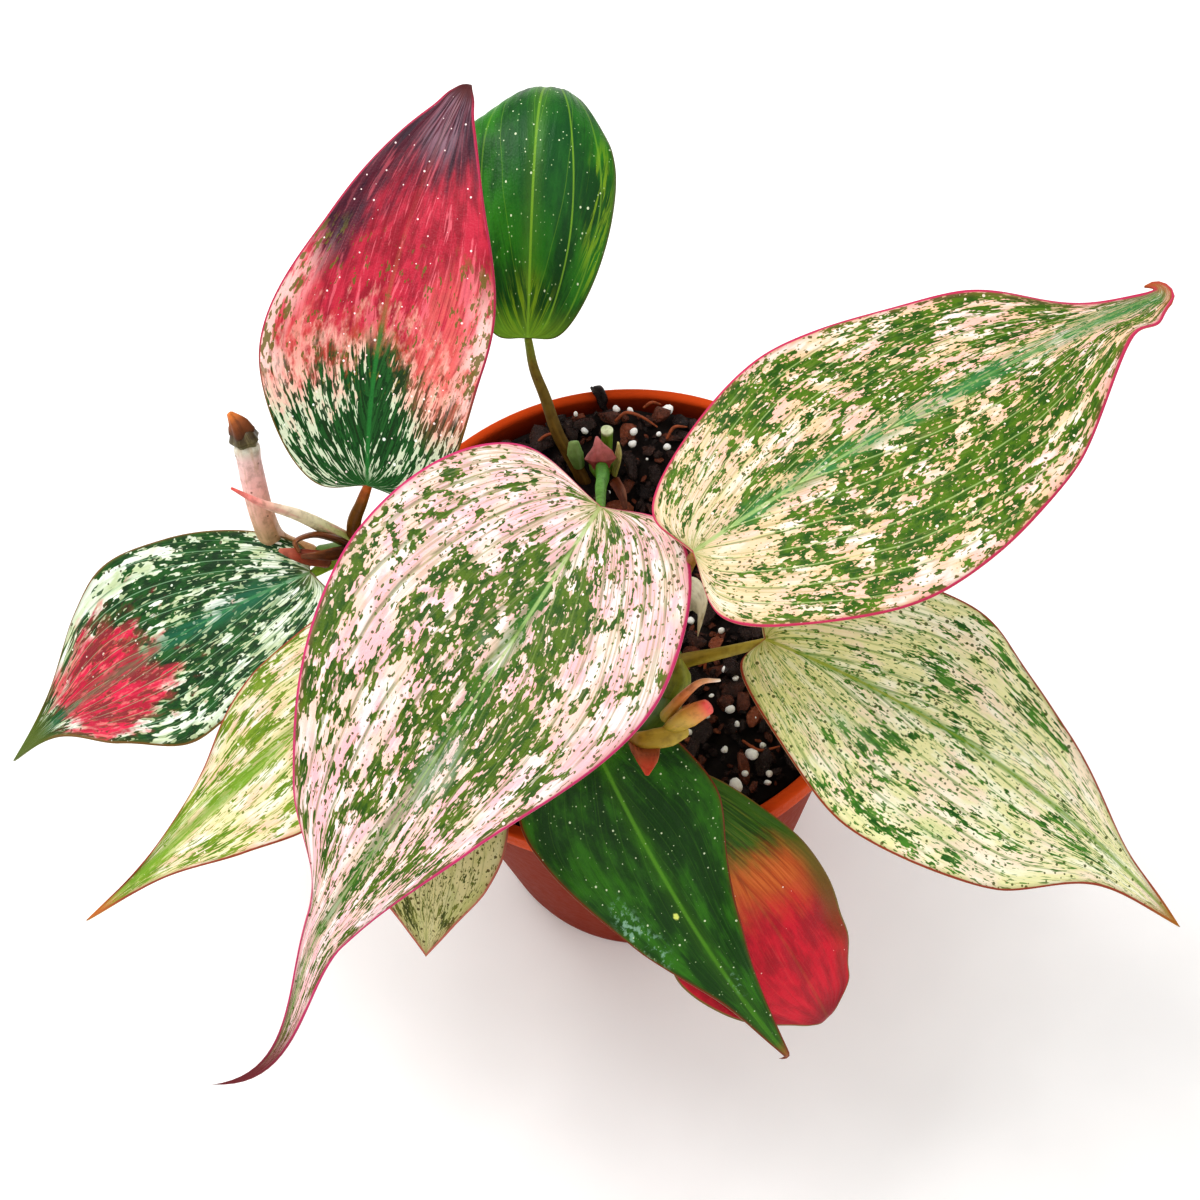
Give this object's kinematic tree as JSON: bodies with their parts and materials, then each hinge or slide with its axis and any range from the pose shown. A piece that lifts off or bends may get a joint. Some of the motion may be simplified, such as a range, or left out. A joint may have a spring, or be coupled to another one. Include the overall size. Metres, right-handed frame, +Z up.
{
  "type": "potted trailing philodendron",
  "caption": "Potted trailing plant with heart-shaped, long-tipped variegated leaves on thin petioles, standing in bark soil in a round tapered plastic pot.",
  "frame": {"origin": "centre of the pot's flat underside", "axes": "+Z up out of the pot, -Y towards the side that the largest leaf hangs over, +X to the right seen from there"},
  "size_m": [0.2374, 0.2016, 0.1735],
  "materials": {
    "front_vine": "fresh stem",
    "back_vine": "fresh stem",
    "left_vine": "fresh stem",
    "front_leaf_blade": "velvety, cream-pink with olive green flecks",
    "right_leaf_blade": "velvety, cream with green flecks",
    "lower_right_leaf_blade": "velvety, pale green-white with fine green flecks",
    "red_leaf_blade": "velvety crimson above, dark green and white below",
    "back_leaf_blade": "velvety green",
    "left_leaf_blade": "velvety dark green with white marbling and a red blotch",
    "lower_left_leaf_blade": "velvety cream-yellow with green streaks",
    "under_leaf_blade": "velvety olive-beige",
    "green_leaf_blade": "velvety dark green",
    "blushed_leaf_blade": "velvety crimson shading to green",
    "front_leaf_petiole": "fresh stem",
    "right_leaf_petiole": "fresh stem",
    "lower_right_leaf_petiole": "fresh stem",
    "red_leaf_petiole": "fresh stem",
    "back_leaf_petiole": "fresh stem",
    "left_leaf_petiole": "fresh stem",
    "lower_left_leaf_petiole": "fresh stem",
    "under_leaf_petiole": "fresh stem",
    "green_leaf_petiole": "fresh stem",
    "blushed_leaf_petiole": "fresh stem",
    "cut_stem": "plant tissue",
    "cut_stem_collar": "plant tissue",
    "dry_stem_cap": "plant tissue",
    "new_spike": "plant tissue",
    "dry_sheath_upper": "plant tissue",
    "dry_sheath_lower": "plant tissue",
    "red_sheath": "plant tissue",
    "node_sheath": "plant tissue",
    "cut_stub": "plant tissue",
    "yellow_sheath": "plant tissue",
    "green_bract": "plant tissue",
    "brown_strip": "plant tissue",
    "pale_sheath": "plant tissue",
    "olive_sheath": "plant tissue",
    "shoot_band": "plant tissue",
    "rolled_leaf": "plant tissue",
    "curved_spike": "plant tissue",
    "shoot_sheath": "plant tissue",
    "pot": "glossy terracotta-coloured plastic",
    "soil": "damp bark mix with white perlite"
  },
  "bodies": {
    "root": {"front_vine": "front_vine", "back_vine": "back_vine", "left_vine": "left_vine", "front_leaf_blade": "front_leaf_blade", "right_leaf_blade": "right_leaf_blade", "lower_right_leaf_blade": "lower_right_leaf_blade", "red_leaf_blade": "red_leaf_blade", "back_leaf_blade": "back_leaf_blade", "left_leaf_blade": "left_leaf_blade", "lower_left_leaf_blade": "lower_left_leaf_blade", "under_leaf_blade": "under_leaf_blade", "green_leaf_blade": "green_leaf_blade", "blushed_leaf_blade": "blushed_leaf_blade", "front_leaf_petiole": "front_leaf_petiole", "right_leaf_petiole": "right_leaf_petiole", "lower_right_leaf_petiole": "lower_right_leaf_petiole", "red_leaf_petiole": "red_leaf_petiole", "back_leaf_petiole": "back_leaf_petiole", "left_leaf_petiole": "left_leaf_petiole", "lower_left_leaf_petiole": "lower_left_leaf_petiole", "under_leaf_petiole": "under_leaf_petiole", "green_leaf_petiole": "green_leaf_petiole", "blushed_leaf_petiole": "blushed_leaf_petiole", "cut_stem": "cut_stem", "cut_stem_collar": "cut_stem_collar", "dry_stem_cap": "dry_stem_cap", "new_spike": "new_spike", "dry_sheath_upper": "dry_sheath_upper", "dry_sheath_lower": "dry_sheath_lower", "red_sheath": "red_sheath", "node_sheath": "node_sheath", "cut_stub": "cut_stub", "yellow_sheath": "yellow_sheath", "green_bract": "green_bract", "brown_strip": "brown_strip", "pale_sheath": "pale_sheath", "olive_sheath": "olive_sheath", "shoot_band": "shoot_band", "rolled_leaf": "rolled_leaf", "curved_spike": "curved_spike", "shoot_sheath": "shoot_sheath", "pot": "pot", "soil": "soil"}
  },
  "joints": []
}
